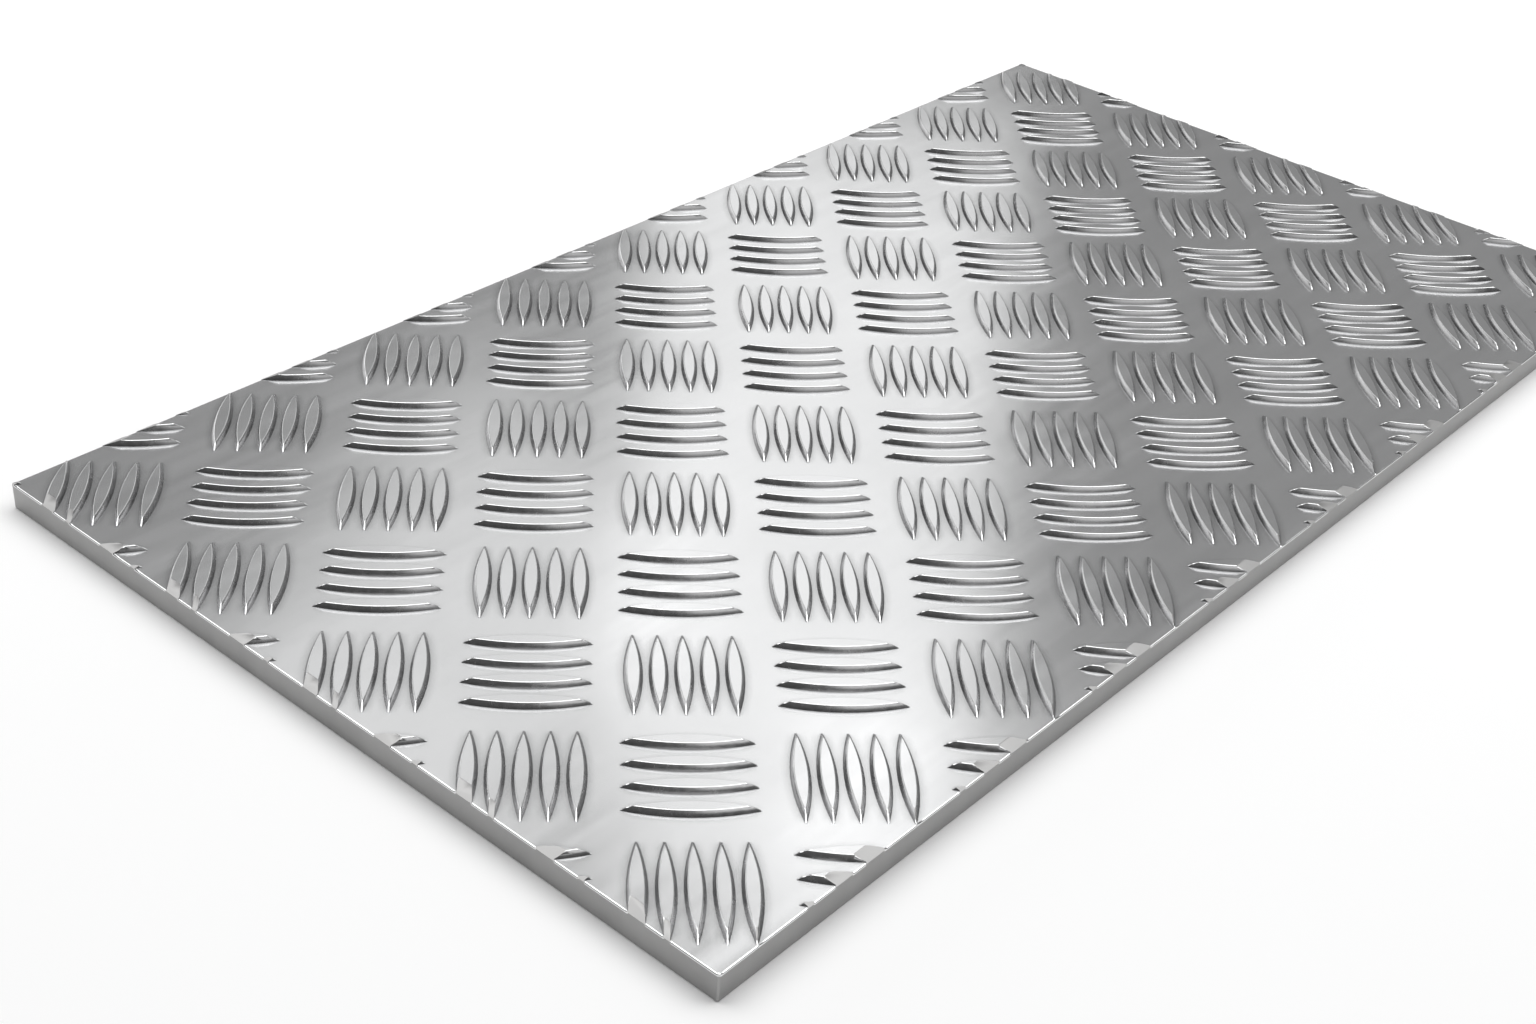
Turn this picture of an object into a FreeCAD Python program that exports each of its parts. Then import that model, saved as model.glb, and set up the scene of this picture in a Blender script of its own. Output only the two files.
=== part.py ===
import FreeCAD, Part
import os
import Sketcher

# Aluminium checker plate: one rolled sheet with raised bars on its upper face, sheared to a
# rectangle. Row frame: origin at the middle of the underside, +X along the long side,
# +Y along the short side, +Z up out of the patterned face. Millimetres.

NODE = "checker_plate"
FIVE_BARS = 5
FOUR_BARS = 4

# The driving dimensions: alias, value, what it is.
DIMENSIONS = [
    ("plate_length", 360.0, "sheared length along X"),
    ("plate_width", 200.0, "sheared width along Y"),
    ("sheet_thickness", 6.0, "gauge of the sheet under the bars"),
    ("shear_margin", 30.0, "rolled sheet past each sheared edge, cut away at the end"),
    ("bar_length", 25.0, "tip to tip at the bar's foot"),
    ("bar_width", 3.8, "widest place of the bar's foot"),
    ("bar_height", 1.2, "rise of the bar above the sheet"),
    ("flank_slope", 30.0, "degrees that a bar's flank leans in from upright"),
    ("pattern_repeat", 42.0, "from one group to the next of its kind, along X and along Y"),
    ("five_spacing", 4.85, "bar to bar in a group of five"),
    ("four_spacing", 6.15, "bar to bar in a group of four"),
    ("first_five_x", 11.5, "from the -X edge to the first group of five"),
    ("first_five_y", 16.0, "from the -Y edge to the first group of five"),
    ("group_reach", 17.0, "how far a group reaches along X or Y from its middle"),
]

os.makedirs("parts", exist_ok=True)
doc = FreeCAD.newDocument("checker_plate")


def cell(alias):
    """The sheet's value, as it is written in an expression."""
    return "<<Dimensions>>." + alias


def make_sheet():
    sheet = doc.addObject("Spreadsheet::Sheet", "Dimensions")
    for row, (alias, value, meaning) in enumerate(DIMENSIONS, start=1):
        sheet.set(f"A{row}", alias)
        sheet.set(f"B{row}", str(value))
        sheet.set(f"C{row}", meaning)
        sheet.setAlias(f"B{row}", alias)
    return sheet


def origin_item(body, role):
    """One of the body's own origin planes or axes."""
    return next(item for item in body.Origin.OriginFeatures if item.Role == role)


def new_sketch(body, name):
    sketch = body.newObject("Sketcher::SketchObject", name)
    sketch.AttachmentSupport = [(origin_item(body, "XY_Plane"), "")]
    sketch.MapMode = "FlatFace"
    return sketch


def add_rectangle(sketch, name, half_x, half_y, length_formula, width_formula):
    """A rectangle about the sketch's origin, its two sides bound to the sheet."""
    corners = [
        FreeCAD.Vector(-half_x, -half_y, 0),
        FreeCAD.Vector(half_x, -half_y, 0),
        FreeCAD.Vector(half_x, half_y, 0),
        FreeCAD.Vector(-half_x, half_y, 0),
    ]
    first = sketch.GeometryCount
    for start, end in zip(corners, corners[1:] + corners[:1]):
        sketch.addGeometry(Part.LineSegment(start, end), False)
    front, right, back, left = range(first, first + 4)
    for side, following in ((front, right), (right, back), (back, left), (left, front)):
        sketch.addConstraint(Sketcher.Constraint("Coincident", side, 2, following, 1))
    for side in (front, back):
        sketch.addConstraint(Sketcher.Constraint("Horizontal", side))
    for side in (right, left):
        sketch.addConstraint(Sketcher.Constraint("Vertical", side))
    sketch.addConstraint(Sketcher.Constraint("Symmetric", front, 1, back, 1, -1, 1))
    length = sketch.addConstraint(Sketcher.Constraint("DistanceX", front, 1, front, 2, 2 * half_x))
    width = sketch.addConstraint(Sketcher.Constraint("DistanceY", right, 1, right, 2, 2 * half_y))
    sketch.renameConstraint(length, name + "_length")
    sketch.renameConstraint(width, name + "_width")
    sketch.setExpression("Constraints." + name + "_length", length_formula)
    sketch.setExpression("Constraints." + name + "_width", width_formula)


def add_lens(sketch, length, width):
    """A pointed oval along the sketch's X: two arcs that meet at its tips."""
    radius = (length**2 + width**2) / (4 * width)
    rise = radius - width / 2
    left = FreeCAD.Vector(-length / 2, 0, 0)
    right = FreeCAD.Vector(length / 2, 0, 0)
    for start, top, end in ((right, width / 2, left), (left, -width / 2, right)):
        arc = Part.Arc(start, FreeCAD.Vector(0, top, 0), end)
        sketch.addGeometry(arc, False)
    sketch.addConstraint(Sketcher.Constraint("Coincident", 0, 2, 1, 1))
    sketch.addConstraint(Sketcher.Constraint("Coincident", 1, 2, 0, 1))
    sketch.addConstraint(Sketcher.Constraint("Symmetric", 0, 1, 0, 2, -1, 1))
    sketch.addConstraint(Sketcher.Constraint("PointOnObject", 0, 1, -1))
    sketch.addConstraint(Sketcher.Constraint("Equal", 0, 1))
    tips = sketch.addConstraint(Sketcher.Constraint("DistanceX", 0, 2, 0, 1, length))
    bend = sketch.addConstraint(Sketcher.Constraint("Radius", 0, radius))
    sketch.renameConstraint(tips, "bar_length")
    sketch.renameConstraint(bend, "bar_radius")
    sketch.setExpression("Constraints.bar_length", cell("bar_length"))
    squares = f"({cell('bar_length')} ^ 2 + {cell('bar_width')} ^ 2)"
    sketch.setExpression("Constraints.bar_radius", f"{squares} / (4 * {cell('bar_width')})")


def pad_sheet(body, sheet):
    """The rolled sheet, a margin larger than the finished plate on every side."""
    half_x = sheet.plate_length / 2 + sheet.shear_margin
    half_y = sheet.plate_width / 2 + sheet.shear_margin
    sketch = new_sketch(body, "rolled_outline")
    margin = " + 2 * " + cell("shear_margin")
    length = cell("plate_length") + margin
    width = cell("plate_width") + margin
    add_rectangle(sketch, "rolled", half_x, half_y, length, width)
    pad = body.newObject("PartDesign::Pad", "rolled_sheet")
    pad.Profile = sketch
    pad.setExpression("Length", cell("sheet_thickness"))


def pattern_count(extent, first):
    """Formula for how many groups in a row touch the plate."""
    span = f"{cell(extent)} + {cell('group_reach')} - ({first})"
    return f"floor(({span}) / {cell('pattern_repeat')}) + 1"


def add_pattern(body, name, direction, spacing, count_formula):
    """One straight row of copies, spacing apart."""
    pattern = body.newObject("PartDesign::LinearPattern", name)
    pattern.Direction = direction
    pattern.Mode = "Spacing"
    pattern.setExpression("Offset", cell(spacing))
    pattern.setExpression("Occurrences", count_formula)
    return pattern


def roll_groups(body, sheet, name, bars, spacing, turn, first_x, first_y):
    """Every group of one kind: a bar, repeated across its group and over the sheet.

    The bar lies turn degrees from X. first_x and first_y are formulas for the middle of the
    group nearest the plate's -X -Y corner, measured from that corner.
    """
    sketch = new_sketch(body, name + "_outline")
    add_lens(sketch, sheet.bar_length, sheet.bar_width)
    sketch.AttachmentOffset = FreeCAD.Placement(
        FreeCAD.Vector(0, 0, 0), FreeCAD.Rotation(FreeCAD.Vector(0, 0, 1), turn)
    )
    # The first bar stands half the group's width back from the group's middle.
    back = f"{(bars - 1) / 2} * {cell(spacing)}"
    middle_x = f"({first_x}) - {cell('plate_length')} / 2"
    middle_y = f"({first_y}) - {cell('plate_width')} / 2"
    sketch.setExpression("AttachmentOffset.Base.x", f"{middle_x} + {back} * sin({turn})")
    sketch.setExpression("AttachmentOffset.Base.y", f"{middle_y} - {back} * cos({turn})")
    sketch.setExpression("AttachmentOffset.Base.z", cell("sheet_thickness"))

    pad = body.newObject("PartDesign::Pad", name)
    pad.Profile = sketch
    pad.setExpression("Length", cell("bar_height"))
    pad.setExpression("TaperAngle", "-" + cell("flank_slope"))
    doc.recompute()

    columns = pattern_count("plate_length", first_x)
    rows = pattern_count("plate_width", first_y)
    steps = [
        add_pattern(body, name + "_across_group", (sketch, ["V_Axis"]), spacing, str(bars)),
        add_pattern(body, name + "_columns", (origin_item(body, "X_Axis"), [""]), "pattern_repeat", columns),
        add_pattern(body, name + "_rows", (origin_item(body, "Y_Axis"), [""]), "pattern_repeat", rows),
    ]
    groups = body.newObject("PartDesign::MultiTransform", name + "_groups")
    groups.Originals = [pad]
    groups.Transformations = steps
    groups.Refine = False
    body.Tip = groups
    doc.recompute()


def shear(body, sheet):
    """Cut the rolled sheet, and the bars on its edges, down to the plate's rectangle."""
    half_x = sheet.plate_length / 2
    half_y = sheet.plate_width / 2
    margin = sheet.shear_margin
    scrap = " + 4 * " + cell("shear_margin")
    sketch = new_sketch(body, "shear_outline")
    add_rectangle(sketch, "plate", half_x, half_y, cell("plate_length"), cell("plate_width"))
    add_rectangle(
        sketch,
        "scrap",
        half_x + 2 * margin,
        half_y + 2 * margin,
        cell("plate_length") + scrap,
        cell("plate_width") + scrap,
    )
    pocket = body.newObject("PartDesign::Pocket", "sheared_edges")
    pocket.Profile = sketch
    pocket.Type = "ThroughAll"
    pocket.Midplane = True
    pocket.Refine = False
    body.Tip = pocket
    doc.recompute()


def check(body, sheet):
    """Stop if a feature failed or the finished solid isn't the plate."""
    for item in doc.Objects:
        if "Invalid" in item.State or "Error" in item.State:
            raise RuntimeError(f"{item.Name} failed: {item.State}")
    shape = body.Shape
    if shape.isNull() or not shape.isValid() or len(shape.Solids) != 1:
        raise RuntimeError("the plate isn't one valid solid")
    # A curved face's quick box is loose, so the sizes come from the shape's exact one.
    box = shape.optimalBoundingBox(False)
    wanted = (sheet.plate_length, sheet.plate_width, sheet.sheet_thickness + sheet.bar_height)
    for found, size in zip((box.XLength, box.YLength, box.ZLength), wanted):
        if abs(found - size) > 0.01:
            raise RuntimeError(f"the plate measures {found}, not {size}")
    flat = sheet.plate_length * sheet.plate_width * sheet.sheet_thickness
    print("bars add", round(shape.Volume - flat), "mm3 to", round(flat), "mm3; faces", len(shape.Faces))


sheet = make_sheet()
doc.recompute()
plate = doc.addObject("PartDesign::Body", NODE)
plate.Label = NODE
pad_sheet(plate, sheet)
doc.recompute()

half_repeat = cell("pattern_repeat") + " / 2"
five_x = cell("first_five_x")
five_y = cell("first_five_y")
four_x = f"{five_x} - {half_repeat}"
four_y = f"{five_y} - {half_repeat}"
roll_groups(plate, sheet, "five_bar", FIVE_BARS, "five_spacing", 45, five_x, five_y)
roll_groups(plate, sheet, "four_bar", FOUR_BARS, "four_spacing", -45, four_x, four_y)
shear(plate, sheet)
check(plate, sheet)

plate.Shape.exportStep(f"parts/{NODE}.step")
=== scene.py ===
import math

import bpy
from mathutils import Matrix, Vector


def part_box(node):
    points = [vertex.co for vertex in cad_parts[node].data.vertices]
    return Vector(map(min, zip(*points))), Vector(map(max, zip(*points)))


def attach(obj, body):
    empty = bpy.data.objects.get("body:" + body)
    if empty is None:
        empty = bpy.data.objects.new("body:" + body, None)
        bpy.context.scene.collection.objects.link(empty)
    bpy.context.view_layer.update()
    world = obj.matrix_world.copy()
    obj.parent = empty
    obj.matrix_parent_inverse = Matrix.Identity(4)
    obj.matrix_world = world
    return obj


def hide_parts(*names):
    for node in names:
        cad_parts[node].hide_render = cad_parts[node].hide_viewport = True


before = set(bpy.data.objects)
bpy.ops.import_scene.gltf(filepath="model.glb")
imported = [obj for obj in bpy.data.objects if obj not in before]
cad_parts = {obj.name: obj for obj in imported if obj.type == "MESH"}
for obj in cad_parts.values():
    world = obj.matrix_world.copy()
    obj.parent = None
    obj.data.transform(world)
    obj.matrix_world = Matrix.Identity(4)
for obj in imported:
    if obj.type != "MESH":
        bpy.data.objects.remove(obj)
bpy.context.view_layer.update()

bl_info = {
    "name": "Checker Plate",
    "version": (1, 0, 0),
    "blender": (4, 5, 0),
    "location": "3D View > Sidebar > Checker Plate",
    "description": "Models a rolled aluminium checker plate and the studio that it is shown in",
    "category": "Object",
}

CAD_NODE = "checker_plate"
LOW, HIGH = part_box(CAD_NODE)

MM = 0.001
FIVE_BARS = 5
FOUR_BARS = 4
DIAGONAL = math.radians(45)

# In metres: points closer than WELD are made one, a cut may be out by CUT_ERROR, and a point
# below GROUND stands on the ground.
WELD = 2e-6
CUT_ERROR = 1e-7
GROUND = 1e-6

# A crease above this angle is shaded sharp: a bar's foot is, and the rim round its top isn't.
CREASE = math.radians(43)
# Above 50, a large face counts for more than a small one in the shading of a rim.
FACE_WEIGHT = 80
# A bar that runs off an edge is filed down to it, this far down for every 1 outwards.
FILED_SLOPE = 0.5
# How far above the sheet the filing stops, as a share of the edge's rounding.
FILED_CLEARANCE = 0.45

# Upward parts of a face's normal, from 0 for an upright face to 1 for a level one. A raised face
# is a flank below FLANK_LIMIT, and can be a filed end below FILED_LIMIT.
UPRIGHT = 0.05
FLANK_LIMIT = 0.64
FILED_LIMIT = 0.95
LEVEL = 0.9999
# The most that the normal of a filed end leans along its edge.
SQUARE = 0.02

# The plate's materials, after the rolled face's, which is 0.
EDGE_SLOT = 1
FLANK_SLOT = 2

# The camera's sensor in millimetres, and the floor's side in metres.
SENSOR_WIDTH = 36
FLOOR_SIZE = 12


class PlateSizes(bpy.types.PropertyGroup):
    """Sizes of the plate and of the bars rolled into it."""

    length: bpy.props.FloatProperty(
        name="Length", description="Along X", default=HIGH[0] - LOW[0], unit="LENGTH"
    )
    width: bpy.props.FloatProperty(
        name="Width", description="Along Y", default=HIGH[1] - LOW[1], unit="LENGTH"
    )
    bar_height: bpy.props.FloatProperty(
        name="Bar height", description="Rise above the sheet", default=1.2 * MM, unit="LENGTH"
    )
    bar_length: bpy.props.FloatProperty(
        name="Bar length", description="Tip to tip at the foot", default=25 * MM, unit="LENGTH"
    )
    bar_width: bpy.props.FloatProperty(
        name="Bar width", description="Widest place of the foot", default=3.8 * MM, unit="LENGTH"
    )
    top_length: bpy.props.FloatProperty(
        name="Top length", description="Tip to tip of the flat top", default=19.2 * MM, unit="LENGTH"
    )
    top_width: bpy.props.FloatProperty(
        name="Top width", description="Widest place of the flat top", default=2.25 * MM, unit="LENGTH"
    )
    tip_width: bpy.props.FloatProperty(
        name="Tip width", description="Blunt end of a bar's foot", default=0.26 * MM, unit="LENGTH"
    )
    arc_steps: bpy.props.IntProperty(
        name="Arc steps", description="Straight pieces along a bar's side", default=10, min=4
    )
    repeat: bpy.props.FloatProperty(
        name="Repeat",
        description="From one group to the next of its kind, along X and along Y",
        default=42 * MM,
        unit="LENGTH",
    )
    five_spacing: bpy.props.FloatProperty(
        name="Five spacing", description="Bar to bar in a group of five", default=4.85 * MM, unit="LENGTH"
    )
    four_spacing: bpy.props.FloatProperty(
        name="Four spacing", description="Bar to bar in a group of four", default=6.15 * MM, unit="LENGTH"
    )
    first_five: bpy.props.FloatVectorProperty(
        name="First group of five",
        description="Its middle, from the plate's -X -Y corner",
        default=(11.5 * MM, 16 * MM),
        size=2,
        unit="LENGTH",
    )
    edge_round: bpy.props.FloatProperty(
        name="Edge rounding", description="Radius of the worn top edge", default=0.35 * MM, unit="LENGTH"
    )
    corner_cut: bpy.props.FloatProperty(
        name="Corner cut", description="Flat worn on each upright corner", default=0.3 * MM, unit="LENGTH"
    )
    under_round: bpy.props.FloatProperty(
        name="Lower edge", description="Chamfer of the lower edge", default=0.2 * MM, unit="LENGTH"
    )


class PlateFinish(bpy.types.PropertyGroup):
    """Colours and gloss of the aluminium."""

    face_colour: bpy.props.FloatVectorProperty(
        name="Face", description="Rolled face", default=(0.84, 0.845, 0.85), subtype="COLOR", min=0, max=1
    )
    # Painted shade: the flanks are given a darker copy of the face's metal colour.
    shaded_flank_colour: bpy.props.FloatVectorProperty(
        name="Flanks", description="Bars' flanks", default=(0.62, 0.62, 0.625), subtype="COLOR", min=0, max=1
    )
    # Painted shade: the sheared edge is given a dark copy of the metal's colour.
    shaded_edge_colour: bpy.props.FloatVectorProperty(
        name="Edge", description="Sheared edge", default=(0.36, 0.358, 0.356), subtype="COLOR", min=0, max=1
    )
    face_roughness: bpy.props.FloatProperty(
        name="Face roughness", description="Gloss of the rolled face", default=0.18, min=0, max=1
    )
    flank_roughness: bpy.props.FloatProperty(
        name="Flank roughness", description="Gloss of the bars' flanks", default=0.24, min=0, max=1
    )
    edge_roughness: bpy.props.FloatProperty(
        name="Edge roughness", description="Gloss of the sheared edge", default=0.42, min=0, max=1
    )


class StudioSettings(bpy.types.PropertyGroup):
    """Floor, lights and camera."""

    floor_colour: bpy.props.FloatVectorProperty(
        name="Floor", description="Pale floor", default=(0.96, 0.96, 0.96), subtype="COLOR", min=0, max=1
    )
    room_grey: bpy.props.FloatProperty(
        name="Room", description="Brightness of the room around the floor", default=0.13, min=0
    )
    lens: bpy.props.FloatProperty(
        name="Lens", description="Focal length in millimetres", default=51.2, min=1
    )
    azimuth: bpy.props.FloatProperty(
        name="Azimuth",
        description="Heading of the view, clockwise from +Y",
        default=math.radians(50.97),
        subtype="ANGLE",
    )
    elevation: bpy.props.FloatProperty(
        name="Elevation",
        description="How far the view looks down",
        default=math.radians(33.13),
        subtype="ANGLE",
    )
    roll: bpy.props.FloatProperty(
        name="Roll", description="Lean of the camera", default=math.radians(4.28), subtype="ANGLE"
    )
    distance: bpy.props.FloatProperty(
        name="Distance", description="Camera to the aimed point", default=463.8 * MM, unit="LENGTH"
    )
    aim: bpy.props.FloatVectorProperty(
        name="Aim",
        description="Point on the sheet that the camera looks at",
        default=(-72.5 * MM, -15.7 * MM, 6 * MM),
        unit="LENGTH",
    )


# ------------------------------------------------------------------ modelling helpers


def leave_edit_mode():
    if bpy.context.object and bpy.context.object.mode != "OBJECT":
        bpy.ops.object.mode_set(mode="OBJECT")


def deselect_all():
    leave_edit_mode()
    bpy.ops.object.select_all(action="DESELECT")


def make_active(piece):
    deselect_all()
    piece.select_set(True)
    bpy.context.view_layer.objects.active = piece


def edit(piece, mode="VERT"):
    """Edit mode on piece, with everything deselected."""
    make_active(piece)
    bpy.ops.object.mode_set(mode="EDIT")
    bpy.ops.mesh.select_mode(type=mode)
    bpy.ops.mesh.select_all(action="DESELECT")


def select_faces(piece, wanted):
    """Leaves edit mode with the faces that wanted(face) picks selected, and goes back in."""
    edit(piece, "FACE")
    bpy.ops.object.mode_set(mode="OBJECT")
    for face in piece.data.polygons:
        face.select = wanted(face)
    bpy.ops.object.mode_set(mode="EDIT")


def select_open_edges():
    bpy.ops.mesh.select_mode(type="EDGE")
    bpy.ops.mesh.select_all(action="DESELECT")
    bpy.ops.mesh.select_non_manifold(
        extend=False,
        use_wire=True,
        use_boundary=True,
        use_multi_face=False,
        use_non_contiguous=False,
        use_verts=False,
    )


def face_upwards(piece):
    """Turns the faces of an open skin so that they look up."""
    edit(piece, "FACE")
    bpy.ops.mesh.select_all(action="SELECT")
    bpy.ops.mesh.normals_make_consistent(inside=False)
    bpy.ops.object.mode_set(mode="OBJECT")
    if sum(face.normal.z * face.area for face in piece.data.polygons) < 0:
        edit(piece, "FACE")
        bpy.ops.mesh.select_all(action="SELECT")
        bpy.ops.mesh.flip_normals()
    leave_edit_mode()


def add_array(piece, name, count, step):
    modifier = piece.modifiers.new(name, "ARRAY")
    modifier.count = count
    modifier.use_relative_offset = False
    modifier.use_constant_offset = True
    modifier.constant_offset_displace = step
    bpy.ops.object.modifier_apply(modifier=name)


def bake_place(piece, shift=(0, 0, 0), turn=0):
    """Moves and turns a piece, and puts that into its mesh."""
    make_active(piece)
    piece.location = shift
    piece.rotation_euler = (0, 0, turn)
    bpy.ops.object.transform_apply(location=True, rotation=True, scale=True)


# ------------------------------------------------------------------ the plate


def bar_rings(sizes):
    """(length, width, height) of the rings of a bar, from its foot to its flat top."""
    # How far in, as a share of foot to top, and how high, as a share of the height, a ring is.
    profile = [(0, 0), (0.32, 0.44), (0.74, 0.86), (1, 1)]
    length = sizes.bar_length - sizes.top_length
    width = sizes.bar_width - sizes.top_width
    rings = []
    for inwards, upwards in profile:
        rise = sizes.bar_height * upwards
        rings.append((sizes.bar_length - length * inwards, sizes.bar_width - width * inwards, rise))
    return rings


def model_bar(sizes):
    """One raised bar along X on the plane z = 0, open below."""
    rings = bar_rings(sizes)
    foot_length, foot_width, _ = rings[0]
    half = foot_length / 2
    blunt = sizes.tip_width / 2
    bulge = foot_width / 2 - blunt
    radius = (half**2 + bulge**2) / (2 * bulge)
    centre = (0, foot_width / 2 - radius, 0)

    # A single point at one tip, spun into the arc of one side.
    deselect_all()
    bpy.ops.mesh.primitive_plane_add(size=blunt)
    bar = bpy.context.object
    bake_place(bar, shift=(half, blunt, 0))
    edit(bar)
    bpy.ops.mesh.select_all(action="SELECT")
    bpy.ops.mesh.merge(type="CENTER")
    bpy.ops.mesh.select_all(action="SELECT")
    bpy.ops.mesh.spin(
        steps=sizes.arc_steps,
        angle=-2 * math.asin(half / radius),
        center=centre,
        axis=(0, 0, 1),
    )
    # The arc, drawn across to its mirror image, fills the foot.
    bpy.ops.mesh.select_all(action="SELECT")
    bpy.ops.mesh.extrude_edges_move()
    bpy.ops.transform.resize(value=(1, -1, 1), center_override=(0, 0, 0))
    face_upwards(bar)

    edit(bar, "FACE")
    bpy.ops.mesh.select_all(action="SELECT")
    for lower, upper in zip(rings, rings[1:]):
        rise = upper[2] - lower[2]
        bpy.ops.mesh.extrude_region_move(TRANSFORM_OT_translate={"value": (0, 0, rise)})
        shrink = (upper[0] / lower[0], upper[1] / lower[1], 1)
        bpy.ops.transform.resize(value=shrink, center_override=(0, 0, 0))
    # The foot's own faces, if any are left, would close the bar below.
    leave_edit_mode()
    select_faces(bar, lambda face: max(bar.data.vertices[v].co.z for v in face.vertices) < GROUND)
    bpy.ops.mesh.delete(type="FACE")
    face_upwards(bar)
    return bar


def model_tile(sizes, name, bars, spacing, turn):
    """A square of sheet with one group of bars standing in it."""
    tile = model_bar(sizes)
    tile.name = name
    make_active(tile)
    add_array(tile, "Group", bars, (0, spacing, 0))
    bake_place(tile, shift=(0, -spacing * (bars - 1) / 2, 0))

    # The square's outline goes round the bars, and the sheet is filled in between.
    deselect_all()
    bpy.ops.mesh.primitive_plane_add(size=sizes.repeat * math.cos(DIAGONAL))
    outline = bpy.context.object
    edit(outline, "FACE")
    bpy.ops.mesh.select_all(action="SELECT")
    bpy.ops.mesh.delete(type="ONLY_FACE")
    make_active(tile)
    outline.select_set(True)
    bpy.ops.object.join()
    edit(tile, "EDGE")
    select_open_edges()
    bpy.ops.mesh.fill(use_beauty=True)
    face_upwards(tile)
    bake_place(tile, turn=turn)
    return tile


def lay_tiles(sizes, tile, first):
    """Copies a tile over the sheet; first is the middle of the one at the -X -Y corner."""
    reach = sizes.repeat / 2
    columns = math.floor((sizes.length + reach - first[0]) / sizes.repeat) + 1
    rows = math.floor((sizes.width + reach - first[1]) / sizes.repeat) + 1
    make_active(tile)
    add_array(tile, "Columns", columns, (sizes.repeat, 0, 0))
    add_array(tile, "Rows", rows, (0, sizes.repeat, 0))
    corner = (LOW[0] + first[0], LOW[1] + first[1], HIGH[2] - sizes.bar_height)
    bake_place(tile, shift=corner)


def trim(sizes, plate):
    """Cuts the patterned skin to the plate's outline, less the rounding of its edges."""
    side_x = sizes.length / 2 - sizes.edge_round
    side_y = sizes.width / 2 - sizes.edge_round
    cuts = [((side_x, 0), (1, 0)), ((-side_x, 0), (-1, 0)), ((0, side_y), (0, 1)), ((0, -side_y), (0, -1))]
    for x in (-1, 1):
        for y in (-1, 1):
            cuts.append(((x * (side_x - sizes.corner_cut), y * side_y), (x, y)))
    for point, outwards in cuts:
        edit(plate)
        bpy.ops.mesh.select_all(action="SELECT")
        bpy.ops.mesh.bisect(
            plane_co=(point[0], point[1], 0),
            plane_no=(outwards[0], outwards[1], 0),
            clear_outer=True,
            threshold=CUT_ERROR,
        )
    edit(plate)
    bpy.ops.mesh.select_all(action="SELECT")
    bpy.ops.mesh.remove_doubles(threshold=WELD)


def drop_edges(sizes, outset, drop):
    """Draws the open edge out from the plate by outset, as far as it has got, and down by drop."""
    bpy.ops.mesh.extrude_edges_move()
    half_x = sizes.length / 2 - outset[0]
    half_y = sizes.width / 2 - outset[0]
    grow = ((half_x + outset[0] - outset[1]) / half_x, (half_y + outset[0] - outset[1]) / half_y, 1)
    bpy.ops.transform.resize(value=grow, center_override=(0, 0, 0))
    bpy.ops.transform.translate(value=(0, 0, -drop))


def close_below(sizes, plate):
    """Rounds the top edge, draws the sides down and closes the underside."""
    edit(plate, "EDGE")
    select_open_edges()
    steps = 3
    radius = sizes.edge_round
    turns = [math.radians(90 * k / steps) for k in range(steps + 1)]
    inset = [radius * (1 - math.sin(turn)) for turn in turns]
    depth = [radius * (1 - math.cos(turn)) for turn in turns]
    for k in range(steps):
        drop_edges(sizes, (inset[k], inset[k + 1]), depth[k + 1] - depth[k])
    bpy.ops.mesh.extrude_edges_move()
    bpy.ops.transform.resize(value=(1, 1, 0), center_override=(0, 0, LOW[2] + sizes.under_round))
    drop_edges(sizes, (0, sizes.under_round), sizes.under_round)
    bpy.ops.mesh.edge_face_add()
    bpy.ops.mesh.select_all(action="SELECT")
    bpy.ops.mesh.normals_make_consistent(inside=False)
    leave_edit_mode()


def ease_bar_ends(sizes, plate):
    """Files the bars that run off an edge down to it, on a slant that clears the sheet."""
    clear = HIGH[2] - sizes.bar_height + FILED_CLEARANCE * sizes.edge_round
    side_x = sizes.length / 2 - sizes.edge_round
    side_y = sizes.width / 2 - sizes.edge_round
    for x, y in ((1, 0), (-1, 0), (0, 1), (0, -1)):
        edit(plate)
        bpy.ops.mesh.select_all(action="SELECT")
        bpy.ops.mesh.bisect(
            plane_co=(x * side_x, y * side_y, clear),
            plane_no=(x * FILED_SLOPE, y * FILED_SLOPE, 1),
            clear_outer=True,
            use_fill=True,
            threshold=CUT_ERROR,
        )
    leave_edit_mode()


def smooth(plate):
    """Rounded edges shade as rounds, and flats stay flat up to them."""
    make_active(plate)
    bpy.ops.object.shade_smooth_by_angle(angle=CREASE)
    modifier = plate.modifiers.new("Flats", "WEIGHTED_NORMAL")
    modifier.mode = "FACE_AREA"
    modifier.weight = FACE_WEIGHT
    modifier.keep_sharp = True
    bpy.ops.object.modifier_apply(modifier="Flats")
    select_faces(plate, lambda face: abs(face.normal.z) > LEVEL)
    bpy.ops.mesh.set_normals_from_faces(keep_sharp=True)
    leave_edit_mode()


# ------------------------------------------------------------------ materials


def new_material(name):
    material = bpy.data.materials.new(name)
    material.use_nodes = True
    nodes = material.node_tree.nodes
    nodes.clear()
    output = nodes.new("ShaderNodeOutputMaterial")
    shader = nodes.new("ShaderNodeBsdfPrincipled")
    material.node_tree.links.new(shader.outputs["BSDF"], output.inputs["Surface"])
    return material, shader


def add_noise(material, scale, stretch=(1, 1, 1), turn=0, detail=2.0):
    """Noise on object coordinates, in features of 1 / scale metres, drawn out by stretch."""
    nodes = material.node_tree.nodes
    links = material.node_tree.links
    place = nodes.new("ShaderNodeTexCoord")
    mapping = nodes.new("ShaderNodeMapping")
    mapping.inputs["Rotation"].default_value = (0, 0, turn)
    mapping.inputs["Scale"].default_value = stretch
    noise = nodes.new("ShaderNodeTexNoise")
    noise.inputs["Scale"].default_value = scale
    noise.inputs["Detail"].default_value = detail
    links.new(place.outputs["Object"], mapping.inputs["Vector"])
    links.new(mapping.outputs["Vector"], noise.inputs["Vector"])
    return noise.outputs["Fac"]


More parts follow.
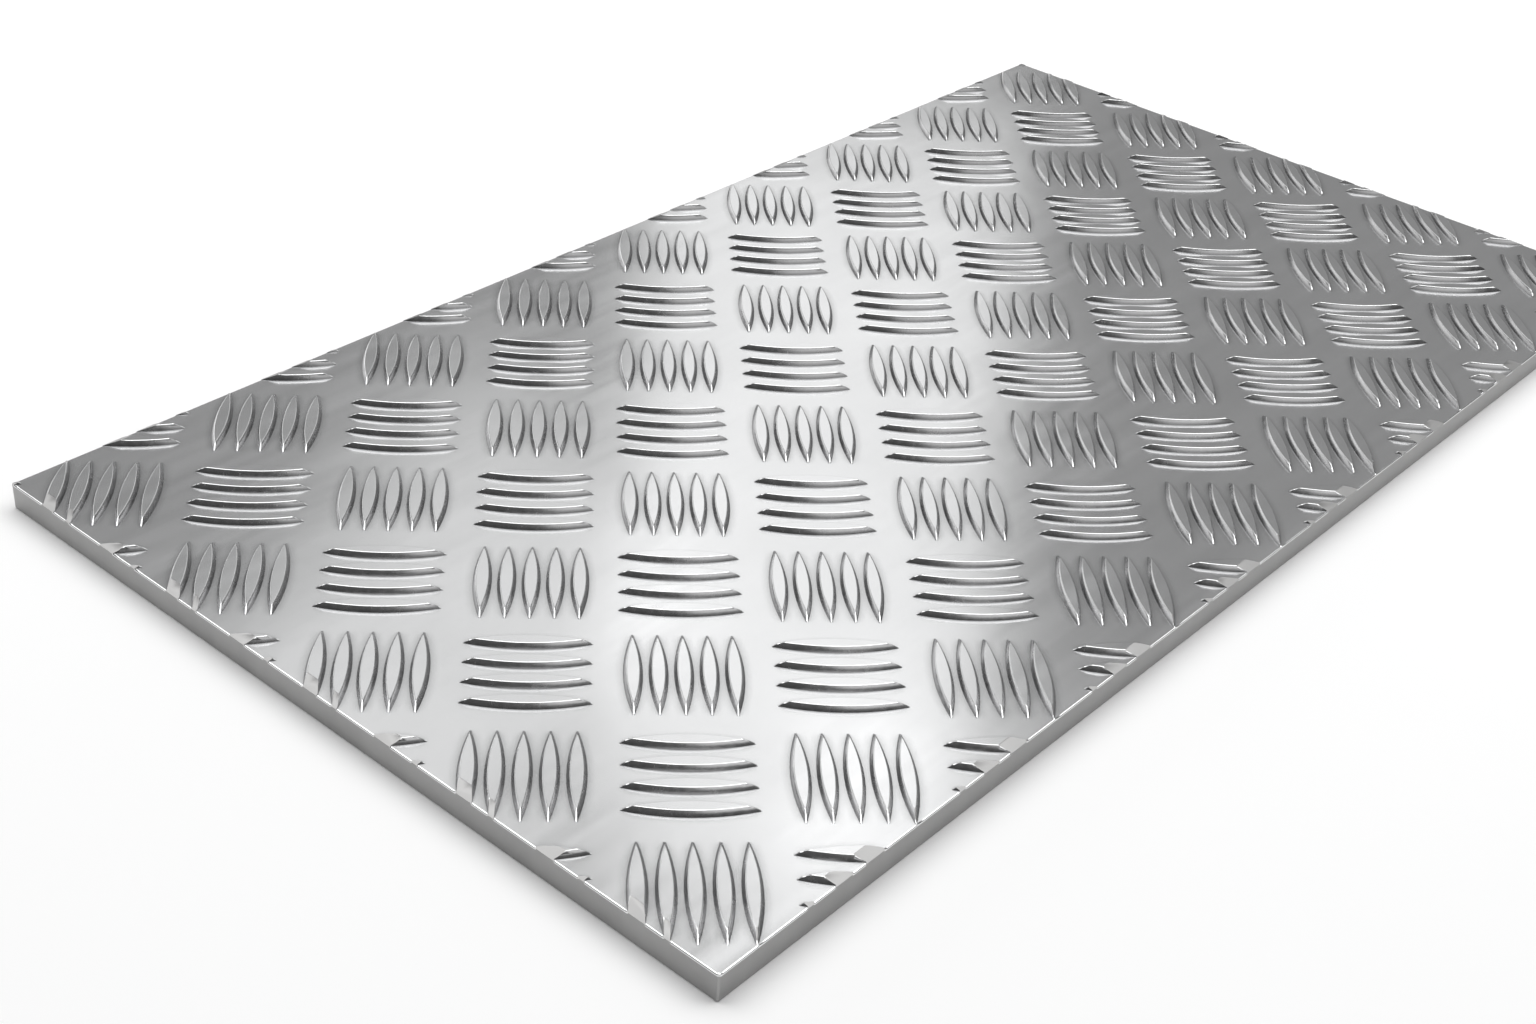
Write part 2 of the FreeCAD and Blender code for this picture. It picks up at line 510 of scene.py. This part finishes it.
def add_range(material, value, low, high):
    """Spreads a noise's middle half over low to high."""
    nodes = material.node_tree.nodes
    spread = nodes.new("ShaderNodeMapRange")
    spread.inputs["From Min"].default_value = 0.3
    spread.inputs["From Max"].default_value = 0.7
    spread.inputs["To Min"].default_value = low
    spread.inputs["To Max"].default_value = high
    material.node_tree.links.new(value, spread.inputs["Value"])
    return spread.outputs["Result"]


def add_bump(material, height, distance, under=None):
    """Bump of that height in metres, over the one under it."""
    bump = material.node_tree.nodes.new("ShaderNodeBump")
    bump.inputs["Strength"].default_value = 1.0
    bump.inputs["Distance"].default_value = distance
    material.node_tree.links.new(height, bump.inputs["Height"])
    if under is not None:
        material.node_tree.links.new(under, bump.inputs["Normal"])
    return bump.outputs["Normal"]


def add_tint(material, value, colour, low, high):
    """Colour, darkened or lightened a little by value."""
    nodes = material.node_tree.nodes
    ramp = nodes.new("ShaderNodeValToRGB")
    ramp.color_ramp.elements[0].position = 0.3
    ramp.color_ramp.elements[0].color = [channel * low for channel in colour] + [1]
    ramp.color_ramp.elements[1].position = 0.7
    ramp.color_ramp.elements[1].color = [channel * high for channel in colour] + [1]
    material.node_tree.links.new(value, ramp.inputs["Fac"])
    return ramp.outputs["Color"]


def add_painted_darkening(material, colour, brightness):
    """Colour, darkened to brightness, which is a socket that gives 0 to 1, to paint shade into it."""
    links = material.node_tree.links
    mix = material.node_tree.nodes.new("ShaderNodeMix")
    mix.data_type = "RGBA"
    mix.inputs["A"].default_value = (0, 0, 0, 1)
    links.new(brightness, mix.inputs["Factor"])
    links.new(colour, mix.inputs["B"])
    return mix.outputs["Result"]


def add_fade(material, value, start, end, share):
    """From share, where value is start, up to 1, where it is end."""
    fade = material.node_tree.nodes.new("ShaderNodeMapRange")
    fade.inputs["From Min"].default_value = start
    fade.inputs["From Max"].default_value = end
    fade.inputs["To Min"].default_value = share
    fade.inputs["To Max"].default_value = 1.0
    material.node_tree.links.new(value, fade.inputs["Value"])
    return fade.outputs["Result"]


def add_painted_corner_shade(material, colour, reach, share):
    """Colour, darkened down to share of itself in the corners round the bars' feet: painted shade, found by
    an ambient-occlusion node.
    """
    corner = material.node_tree.nodes.new("ShaderNodeAmbientOcclusion")
    corner.samples = 4
    corner.inputs["Distance"].default_value = reach
    openness = add_fade(material, corner.outputs["AO"], start=0.5, end=1.0, share=share)
    return add_painted_darkening(material, colour, openness)


def rolled_face_material(finish):
    """Bright mill-finished aluminium with faint rolling marks and handling scratches."""
    material, shader = new_material("rolled_aluminium")
    links = material.node_tree.links
    shader.inputs["Metallic"].default_value = 1.0
    cloud = add_noise(material, scale=35, detail=3)
    lines = add_noise(material, scale=260, stretch=(0.05, 1, 1))
    hairs = add_noise(material, scale=900, stretch=(0.03, 1, 1), turn=math.radians(24))
    tint = add_tint(material, cloud, finish.face_colour, low=0.96, high=1.03)
    # Painted shade: the face's colour is darkened in the corners round the bars' feet.
    corner_shaded_tint = add_painted_corner_shade(material, tint, reach=2 * MM, share=0.4)
    links.new(corner_shaded_tint, shader.inputs["Base Color"])
    gloss = add_range(material, lines, finish.face_roughness - 0.02, finish.face_roughness + 0.03)
    links.new(gloss, shader.inputs["Roughness"])
    waves = add_bump(material, cloud, distance=0.06 * MM)
    rolled = add_bump(material, lines, distance=0.002 * MM, under=waves)
    scratched = add_bump(material, hairs, distance=0.0012 * MM, under=rolled)
    links.new(scratched, shader.inputs["Normal"])
    return material


def add_foot_shade(material, colour, sizes, share):
    """Colour on a bar's flank, darkened down to share of itself at the bar's foot: painted shade."""
    nodes = material.node_tree.nodes
    place = nodes.new("ShaderNodeTexCoord")
    axes = nodes.new("ShaderNodeSeparateXYZ")
    material.node_tree.links.new(place.outputs["Object"], axes.inputs["Vector"])
    foot = HIGH[2] - sizes.bar_height
    rise = add_fade(material, axes.outputs["Z"], start=foot, end=HIGH[2], share=share)
    return add_painted_darkening(material, colour, rise)


def flank_material(finish, sizes):
    """The bars' flanks: a darker copy of the rolled metal's colour, as painted shade, and a little rougher.
    """
    material, shader = new_material("bar_flanks")
    links = material.node_tree.links
    shader.inputs["Metallic"].default_value = 1.0
    cloud = add_noise(material, scale=700, detail=3)
    tint = add_tint(material, cloud, finish.shaded_flank_colour, low=0.9, high=1.08)
    # Painted shade: the flanks' colour darkens towards the bars' feet.
    shaded = add_foot_shade(material, tint, sizes, share=0.4)
    links.new(shaded, shader.inputs["Base Color"])
    gloss = add_range(material, cloud, finish.flank_roughness - 0.03, finish.flank_roughness + 0.04)
    links.new(gloss, shader.inputs["Roughness"])
    return material


def sheared_edge_material(finish):
    """Rougher metal where the plate was sheared, with fine upright drag marks; its colour is set dark as
    painted shade.
    """
    material, shader = new_material("sheared_aluminium")
    links = material.node_tree.links
    shader.inputs["Metallic"].default_value = 1.0
    drag = add_noise(material, scale=2200, stretch=(1, 1, 0.04))
    cloud = add_noise(material, scale=120, stretch=(1, 1, 0.5), detail=3)
    tint = add_tint(material, cloud, finish.shaded_edge_colour, low=0.92, high=1.06)
    links.new(tint, shader.inputs["Base Color"])
    gloss = add_range(material, cloud, finish.edge_roughness - 0.05, finish.edge_roughness + 0.05)
    links.new(gloss, shader.inputs["Roughness"])
    links.new(add_bump(material, drag, distance=0.006 * MM), shader.inputs["Normal"])
    return material


def give_materials(sizes, finish, plate):
    """Rolled metal on top and below, and darker metal, as painted shade, on the edges, filed ends and
    flanks.
    """
    plate.data.materials.append(rolled_face_material(finish))
    plate.data.materials.append(sheared_edge_material(finish))
    plate.data.materials.append(flank_material(finish, sizes))
    top = HIGH[2] - sizes.bar_height
    for face in plate.data.polygons:
        normal = face.normal
        raised = face.center.z > top
        # A bar lies at 45 degrees, so a slant that faces an edge squarely is a filed end.
        squarely = min(abs(normal.x), abs(normal.y)) < SQUARE
        filed = squarely and raised and normal.z < FILED_LIMIT
        # Filed ends take the edge's dark colour too, as painted shade that tones down their highlight.
        if abs(normal.z) < UPRIGHT or filed:
            face.material_index = EDGE_SLOT
        elif raised and normal.z < FLANK_LIMIT:
            face.material_index = FLANK_SLOT


# ------------------------------------------------------------------ the studio


def view_frame(studio):
    """The camera's right, up and forward directions, before its roll."""
    forward = Vector(
        (
            math.sin(studio.azimuth) * math.cos(studio.elevation),
            math.cos(studio.azimuth) * math.cos(studio.elevation),
            -math.sin(studio.elevation),
        )
    )
    right = Vector((math.cos(studio.azimuth), -math.sin(studio.azimuth), 0))
    return right, right.cross(forward), forward


def add_camera(studio):
    right, up, forward = view_frame(studio)
    data = bpy.data.cameras.new("Camera")
    data.lens = studio.lens
    data.sensor_width = SENSOR_WIDTH
    data.clip_start = 0.01
    data.clip_end = 50
    camera = bpy.data.objects.new("Camera", data)
    bpy.context.scene.collection.objects.link(camera)
    lean = math.cos(studio.roll), math.sin(studio.roll)
    side = right * lean[0] + up * lean[1]
    top = up * lean[0] - right * lean[1]
    turn = Matrix((side, top, -forward)).transposed()
    place = Vector(studio.aim) - forward * studio.distance
    camera.matrix_world = Matrix.Translation(place) @ turn.to_4x4()
    bpy.context.scene.camera = camera


def add_softbox(studio, name, place, aim, size, lean, radiance):
    """An area lamp at place = (right, forward, up) of the view, in metres, turned to aim."""
    ahead = Vector((math.sin(studio.azimuth), math.cos(studio.azimuth), 0))
    right = Vector((math.cos(studio.azimuth), -math.sin(studio.azimuth), 0))

    def point(values):
        return right * values[0] + ahead * values[1] + Vector((0, 0, values[2]))

    data = bpy.data.lights.new(name, "AREA")
    data.shape = "RECTANGLE"
    data.size, data.size_y = size
    data.energy = radiance * math.pi * size[0] * size[1]
    lamp = bpy.data.objects.new(name, data)
    bpy.context.scene.collection.objects.link(lamp)
    facing = (point(aim) - point(place)).to_track_quat("-Z", "Y")
    lamp.matrix_world = (
        Matrix.Translation(point(place)) @ facing.to_matrix().to_4x4() @ Matrix.Rotation(lean, 4, "Z")
    )


def add_lamps(studio):
    """A large box overhead, and others round the plate for its sheet and edges to mirror."""
    origin = (0, 0, 0)
    add_softbox(
        studio,
        "overhead",
        place=(0, 0.5, 1.8),
        aim=(0, 0.5, 0),
        size=(5.2, 1.7),
        lean=-studio.azimuth,
        radiance=2.35,
    )
    add_softbox(
        studio, "behind", place=(0.68, -1.17, 0.85), aim=origin, size=(1.0, 0.7), lean=0, radiance=1.0
    )
    add_softbox(
        studio, "left_low", place=(-1.22, 0.95, 0.3), aim=origin, size=(1.4, 0.6), lean=0, radiance=1.0
    )
    add_softbox(
        studio, "backdrop", place=(0, 1.5, 0.85), aim=(0, 0, 0.85), size=(3.6, 1.6), lean=0, radiance=0.14
    )
    add_softbox(
        studio, "strip", place=(0, 1.0, 0.69), aim=origin, size=(0.29, 0.62), lean=0, radiance=0.73
    )
    add_softbox(
        studio,
        "left_fan",
        place=(-0.33, 1.0, 0.92),
        aim=origin,
        size=(0.51, 0.28),
        lean=math.radians(42),
        radiance=0.56,
    )
    add_softbox(
        studio,
        "right_fan",
        place=(0.08, 1.0, 1.26),
        aim=origin,
        size=(0.26, 0.56),
        lean=math.radians(-15),
        radiance=0.42,
    )


def add_room(studio):
    world = bpy.data.worlds.new("Room")
    bpy.context.scene.world = world
    world.use_nodes = True
    background = world.node_tree.nodes["Background"]
    background.inputs["Color"].default_value = (studio.room_grey,) * 3 + (1,)
    background.inputs["Strength"].default_value = 1.0


def add_floor(studio):
    deselect_all()
    bpy.ops.mesh.primitive_plane_add(size=FLOOR_SIZE)
    floor = bpy.context.object
    floor.name = "floor"
    material, shader = new_material("floor")
    shader.inputs["Base Color"].default_value = (*studio.floor_colour, 1)
    shader.inputs["Roughness"].default_value = 0.9
    shader.inputs["Specular IOR Level"].default_value = 0.0
    floor.data.materials.append(material)


# ------------------------------------------------------------------ operators and panel


class CHECKER_OT_plate(bpy.types.Operator):
    """Model the rolled plate, from one bar to the trimmed and closed sheet"""

    bl_idname = "checker.plate"
    bl_label = "Model plate"

    def execute(self, context):
        sizes = context.scene.plate_sizes
        finish = context.scene.plate_finish
        fives = model_tile(sizes, "fives", FIVE_BARS, sizes.five_spacing, DIAGONAL)
        fours = model_tile(sizes, "fours", FOUR_BARS, sizes.four_spacing, -DIAGONAL)
        half_repeat = sizes.repeat / 2
        first_five = sizes.first_five
        lay_tiles(sizes, fives, first_five)
        lay_tiles(sizes, fours, (first_five[0] - half_repeat, first_five[1] - half_repeat))

        make_active(fives)
        fours.select_set(True)
        bpy.ops.object.join()
        plate = bpy.context.object
        plate.name = "rolled_plate"
        plate.data.name = "rolled_plate"
        edit(plate)
        bpy.ops.mesh.select_all(action="SELECT")
        bpy.ops.mesh.remove_doubles(threshold=WELD)
        trim(sizes, plate)
        close_below(sizes, plate)
        ease_bar_ends(sizes, plate)

        give_materials(sizes, finish, plate)
        smooth(plate)

        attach(plate, "root")
        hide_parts(CAD_NODE)
        return {"FINISHED"}


class CHECKER_OT_studio(bpy.types.Operator):
    """Set up the pale floor, the soft lights and the camera"""

    bl_idname = "checker.studio"
    bl_label = "Set up studio"

    def execute(self, context):
        studio = context.scene.plate_studio
        add_floor(studio)
        add_room(studio)
        add_camera(studio)
        add_lamps(studio)
        settings = context.scene.view_settings
        settings.view_transform = "Standard"
        return {"FINISHED"}


class CHECKER_PT_panel(bpy.types.Panel):
    """Lists the plate's and the studio's settings and operators"""

    bl_idname = "CHECKER_PT_panel"
    bl_label = "Checker Plate"
    bl_space_type = "VIEW_3D"
    bl_region_type = "UI"
    bl_category = "Checker Plate"

    def draw(self, context):
        layout = self.layout
        for settings in (context.scene.plate_sizes, context.scene.plate_finish):
            for name in settings.__annotations__:
                layout.prop(settings, name)
        layout.operator(CHECKER_OT_plate.bl_idname)
        for name in context.scene.plate_studio.__annotations__:
            layout.prop(context.scene.plate_studio, name)
        layout.operator(CHECKER_OT_studio.bl_idname)


CLASSES = (
    PlateSizes,
    PlateFinish,
    StudioSettings,
    CHECKER_OT_plate,
    CHECKER_OT_studio,
    CHECKER_PT_panel,
)


def register():
    for cls in CLASSES:
        bpy.utils.register_class(cls)
    bpy.types.Scene.plate_sizes = bpy.props.PointerProperty(type=PlateSizes)
    bpy.types.Scene.plate_finish = bpy.props.PointerProperty(type=PlateFinish)
    bpy.types.Scene.plate_studio = bpy.props.PointerProperty(type=StudioSettings)


def unregister():
    del bpy.types.Scene.plate_studio
    del bpy.types.Scene.plate_finish
    del bpy.types.Scene.plate_sizes
    for cls in reversed(CLASSES):
        bpy.utils.unregister_class(cls)


def main():
    register()
    bpy.ops.checker.plate()
    bpy.ops.checker.studio()


if __name__ == "__main__":
    main()
